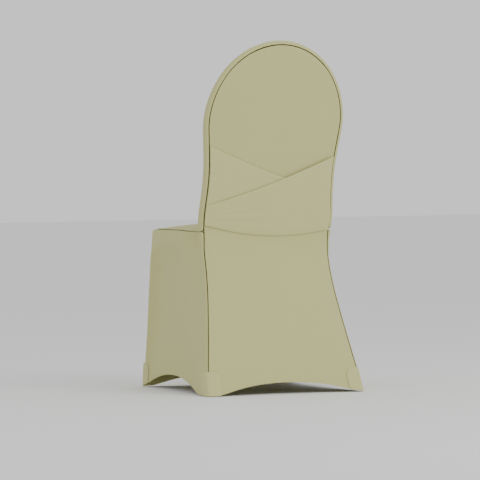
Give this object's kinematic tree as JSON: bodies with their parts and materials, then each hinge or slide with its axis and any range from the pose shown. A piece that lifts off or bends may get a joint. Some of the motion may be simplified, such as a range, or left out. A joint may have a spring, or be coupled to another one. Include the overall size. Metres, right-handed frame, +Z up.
{
  "type": "fitted chair cover with sash, the chair left out",
  "caption": "Fitted stretch cover for a round-topped banquet chair, open below, with a gathered criss-cross sash sewn into the back's side seams.",
  "frame": {"origin": "on the floor, in the middle of the cover's box", "axes": "+Z up, the covered chair faces -Y, so the back with the sash faces +Y; +X is the sitter's left"},
  "size_m": [0.4594, 0.5331, 0.955],
  "materials": {
    "cover_knit": "smooth matt stretch knit with a faint sheen, pale olive yellow",
    "sash_knit": "the same stretch knit gathered in folds, a little lighter",
    "patch_knit": "doubled stretch knit with a stitched edge"
  },
  "bodies": {
    "root": {"back_panel": "cover_knit", "inner_back_panel": "cover_knit", "seat_panel": "cover_knit", "front_skirt": "cover_knit", "side_skirt_left": "cover_knit", "side_skirt_right": "cover_knit", "sash_band_under": "sash_knit", "sash_band_over": "sash_knit", "foot_patch_rear_left": "patch_knit", "foot_patch_rear_right": "patch_knit", "foot_patch_front_left": "patch_knit", "foot_patch_front_right": "patch_knit"}
  },
  "joints": []
}
